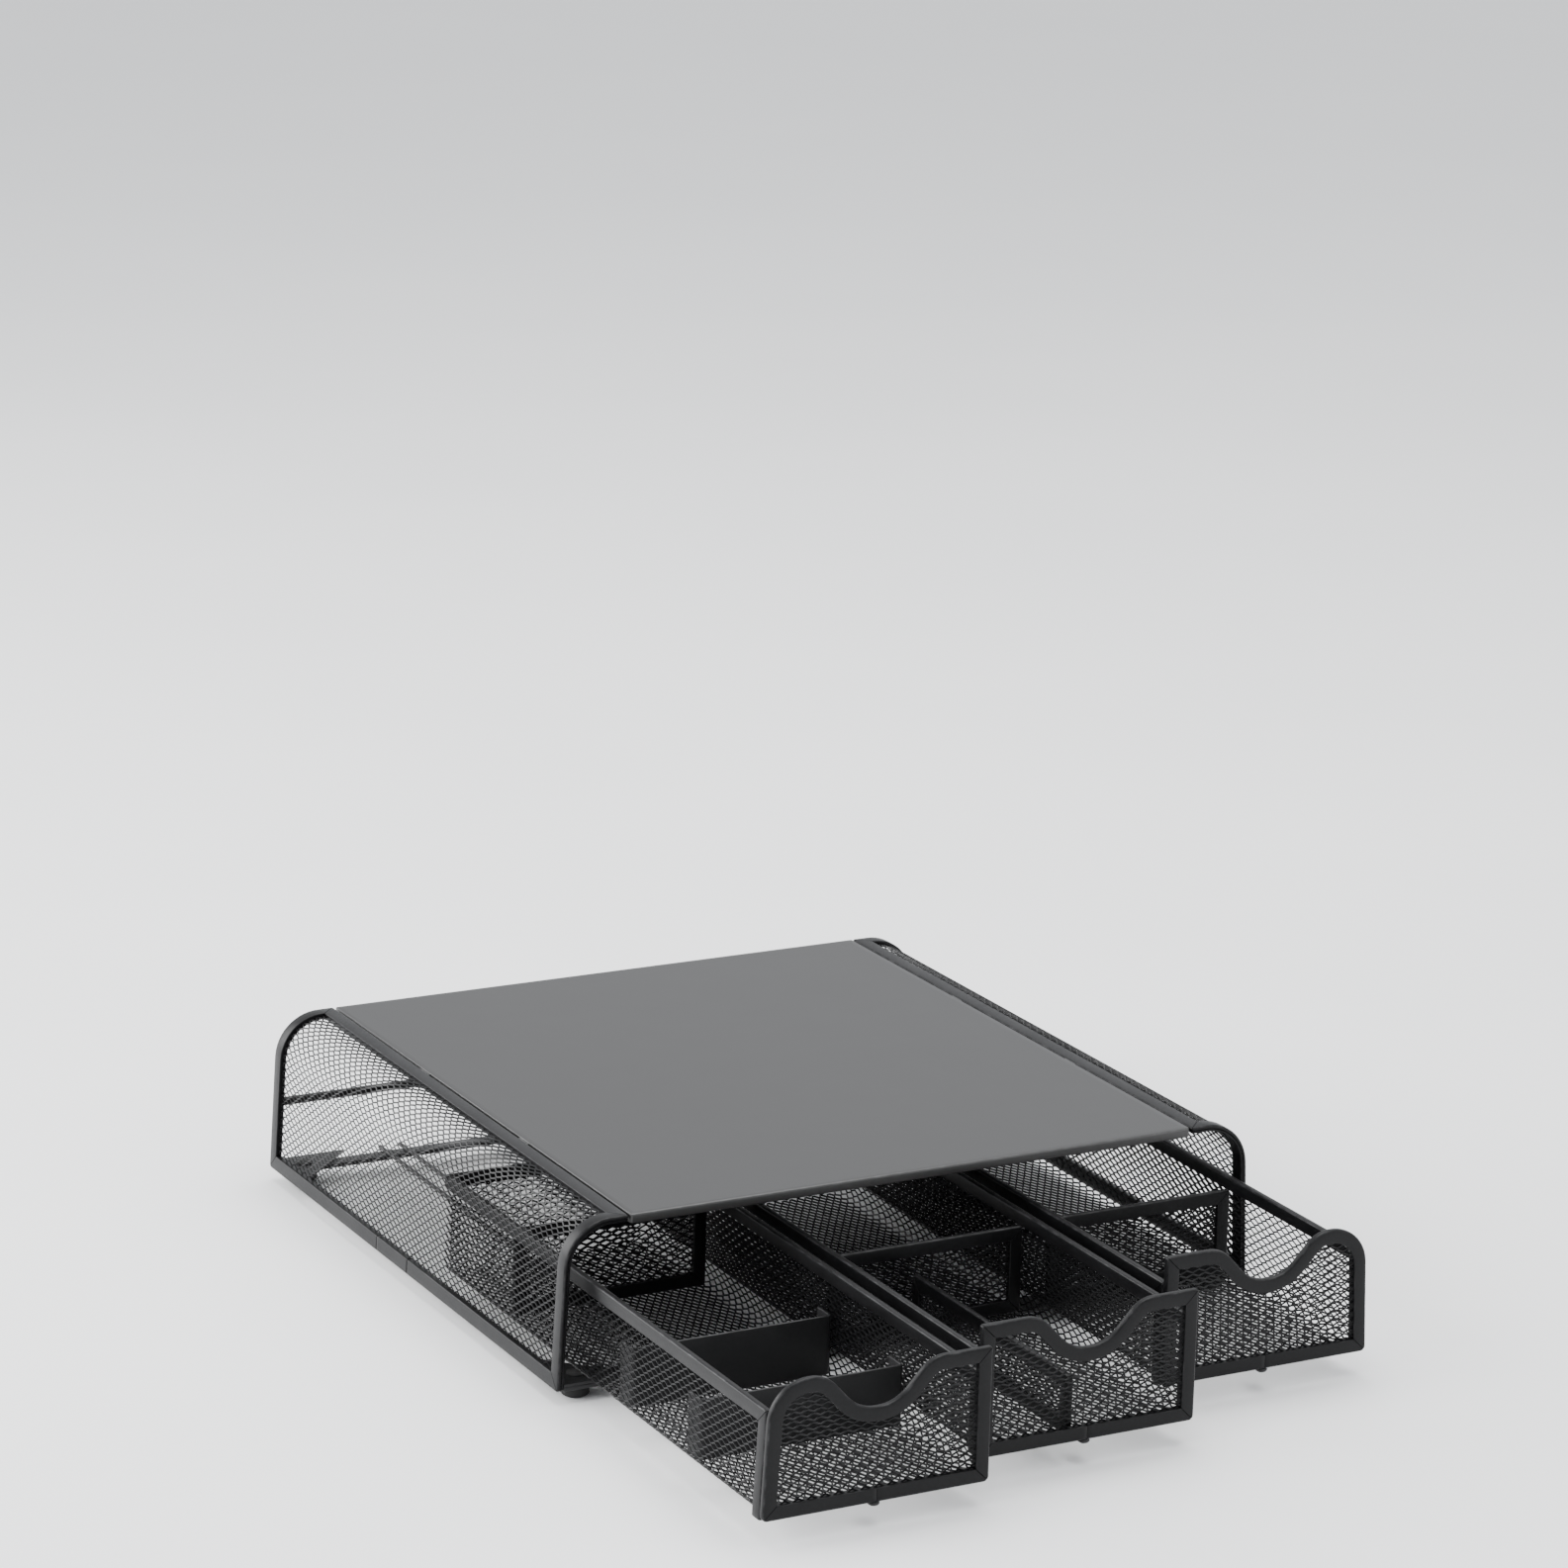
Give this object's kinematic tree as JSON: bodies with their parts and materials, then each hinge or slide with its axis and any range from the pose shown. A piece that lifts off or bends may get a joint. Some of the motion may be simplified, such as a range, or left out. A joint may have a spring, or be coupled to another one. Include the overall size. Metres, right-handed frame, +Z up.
{
  "type": "monitor riser stand",
  "caption": "Low mesh-sided stand with a flat top plate for a monitor and open-topped mesh drawers that slide out at the front.",
  "frame": {"origin": "on the surface that the feet stand on, in the middle of the footprint of the housing with its drawers pulled out as stored", "axes": "+Z up, +Y towards the back, +X to the right as seen from the front; the drawers slide out along -Y"},
  "size_m": [0.335, 0.472, 0.079],
  "materials": {
    "mesh": "satin black powder coat on expanded metal",
    "edge_strip": "satin black powder coat",
    "top_plate": "fine satin black powder coat",
    "plain_divider": "satin black powder coat",
    "base_metal": "satin black powder coat",
    "rubber": "matte",
    "glide": "matte"
  },
  "bodies": {
    "housing": {"corner_gussets": "base_metal", "front_base_bar": "base_metal", "left_base_rail": "edge_strip", "left_drawer_guide_wires": "base_metal", "left_front_strip": "edge_strip", "left_rear_strip": "edge_strip", "left_side_mesh": "mesh", "left_top_strip": "edge_strip", "middle_drawer_guide_wires": "base_metal", "rear_base_bar": "base_metal", "rear_stop_bar": "base_metal", "right_base_rail": "edge_strip", "right_drawer_guide_wires": "base_metal", "right_front_strip": "edge_strip", "right_rear_strip": "edge_strip", "right_side_mesh": "mesh", "right_top_strip": "edge_strip", "rubber_feet": "rubber", "top_plate": "top_plate"},
    "left_drawer": {"left_drawer_divider_frame": "edge_strip", "left_drawer_divider_mesh": "mesh", "left_drawer_floor": "mesh", "left_drawer_front_mesh": "mesh", "left_drawer_front_strip": "edge_strip", "left_drawer_glides": "glide", "left_drawer_left_rim": "edge_strip", "left_drawer_left_wall": "mesh", "left_drawer_plain_divider_1": "plain_divider", "left_drawer_plain_divider_2": "plain_divider", "left_drawer_rear_rim": "edge_strip", "left_drawer_rear_wall": "mesh", "left_drawer_right_rim": "edge_strip", "left_drawer_right_wall": "mesh"},
    "middle_drawer": {"middle_drawer_divider_frame": "edge_strip", "middle_drawer_divider_mesh": "mesh", "middle_drawer_floor": "mesh", "middle_drawer_front_mesh": "mesh", "middle_drawer_front_strip": "edge_strip", "middle_drawer_glides": "glide", "middle_drawer_left_rim": "edge_strip", "middle_drawer_left_wall": "mesh", "middle_drawer_long_divider_frame": "edge_strip", "middle_drawer_long_divider_mesh": "mesh", "middle_drawer_rear_rim": "edge_strip", "middle_drawer_rear_wall": "mesh", "middle_drawer_right_rim": "edge_strip", "middle_drawer_right_wall": "mesh"},
    "right_drawer": {"right_drawer_divider_frame": "edge_strip", "right_drawer_divider_mesh": "mesh", "right_drawer_floor": "mesh", "right_drawer_front_mesh": "mesh", "right_drawer_front_strip": "edge_strip", "right_drawer_glides": "glide", "right_drawer_left_rim": "edge_strip", "right_drawer_left_wall": "mesh", "right_drawer_rear_rim": "edge_strip", "right_drawer_rear_wall": "mesh", "right_drawer_right_rim": "edge_strip", "right_drawer_right_wall": "mesh"}
  },
  "joints": [
    {"name": "left_drawer_slide", "type": "slide", "parent": "housing", "child": "left_drawer", "axis": [0, -1, 0], "range_m": [-0.164, 0.046]},
    {"name": "middle_drawer_slide", "type": "slide", "parent": "housing", "child": "middle_drawer", "axis": [0, -1, 0], "range_m": [-0.143, 0.067]},
    {"name": "right_drawer_slide", "type": "slide", "parent": "housing", "child": "right_drawer", "axis": [0, -1, 0], "range_m": [-0.107, 0.103]}
  ]
}
